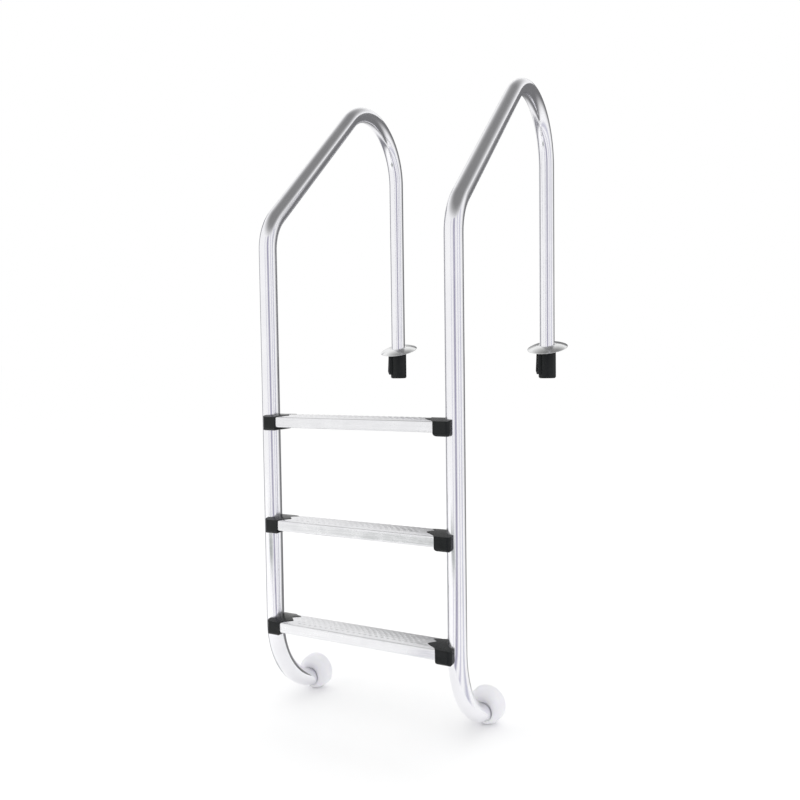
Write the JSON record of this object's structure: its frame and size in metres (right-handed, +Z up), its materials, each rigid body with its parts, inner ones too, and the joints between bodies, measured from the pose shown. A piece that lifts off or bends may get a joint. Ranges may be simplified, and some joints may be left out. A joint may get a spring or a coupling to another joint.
{
  "type": "pool ladder",
  "caption": "Pool ladder: bent tubular handrails, pressed treads in black end caps, wall bumpers, cover rings and deck anchors with clamping wedges.",
  "frame": {"origin": "under the middle of the bounding box, level with the lowest point of the wall bumpers", "axes": "+Z up along the rails, +Y from the water towards the deck and the pool wall that the bumpers rest on, +X across the ladder"},
  "size_m": [0.607, 0.778, 1.617],
  "materials": {
    "rail": "polished stainless tube",
    "tread": "pressed stainless sheet, satin with an embossed top",
    "cap": "black moulded plastic",
    "bumper": "milky translucent soft plastic",
    "cover": "polished pressed stainless",
    "anchor": "black moulded plastic",
    "wedge": "cast stainless",
    "fastener": "stainless fasteners"
  },
  "bodies": {
    "deck_anchors": {"left_anchor_socket": "anchor", "right_anchor_socket": "anchor"},
    "ladder": {"left_side_rail": "rail", "left_wall_bumper": "bumper", "right_side_rail": "rail", "right_wall_bumper": "bumper", "top_tread": "tread", "top_tread_cap_left": "cap", "top_tread_cap_right": "cap", "middle_tread": "tread", "middle_tread_cap_left": "cap", "middle_tread_cap_right": "cap", "bottom_tread": "tread", "bottom_tread_cap_left": "cap", "bottom_tread_cap_right": "cap", "tread_bolts": "fastener", "tread_washers": "fastener", "rivet_nuts": "fastener"},
    "left_cover_ring": {"left_cover_ring": "cover"},
    "right_cover_ring": {"right_cover_ring": "cover"},
    "left_wedge": {"left_anchor_wedge": "wedge"},
    "right_wedge": {"right_anchor_wedge": "wedge"},
    "left_wedge_screw": {"left_wedge_screw": "fastener"},
    "right_wedge_screw": {"right_wedge_screw": "fastener"}
  },
  "joints": [
    {"name": "lift_out", "type": "slide", "parent": "deck_anchors", "child": "ladder", "axis": [0, 0, 1], "range_m": [0, 0.1]},
    {"name": "left_cover_slide", "type": "slide", "parent": "ladder", "child": "left_cover_ring", "axis": [0, 0, 1], "range_m": [0, 0.47]},
    {"name": "left_screw_turn", "type": "hinge", "parent": "deck_anchors", "child": "left_wedge_screw", "pos_m": [-0.26317, 0.31178, 0.8836], "axis": [0, 0, 1], "range_deg": [0, 2161]},
    {"name": "left_wedge_slide", "type": "slide", "parent": "deck_anchors", "child": "left_wedge", "axis": [0, 0, 1], "range_m": [-0.0048, 0]},
    {"name": "right_cover_slide", "type": "slide", "parent": "ladder", "child": "right_cover_ring", "axis": [0, 0, 1], "range_m": [0, 0.47]},
    {"name": "right_screw_turn", "type": "hinge", "parent": "deck_anchors", "child": "right_wedge_screw", "pos_m": [0.22683, 0.31178, 0.8836], "axis": [0, 0, 1], "range_deg": [0, 2161]},
    {"name": "right_wedge_slide", "type": "slide", "parent": "deck_anchors", "child": "right_wedge", "axis": [0, 0, 1], "range_m": [-0.0048, 0]}
  ],
  "couplings": [
    {"joint": "left_screw_turn", "follows": "left_wedge_slide", "rad_per_m": -7854},
    {"joint": "right_screw_turn", "follows": "right_wedge_slide", "rad_per_m": -7854}
  ]
}
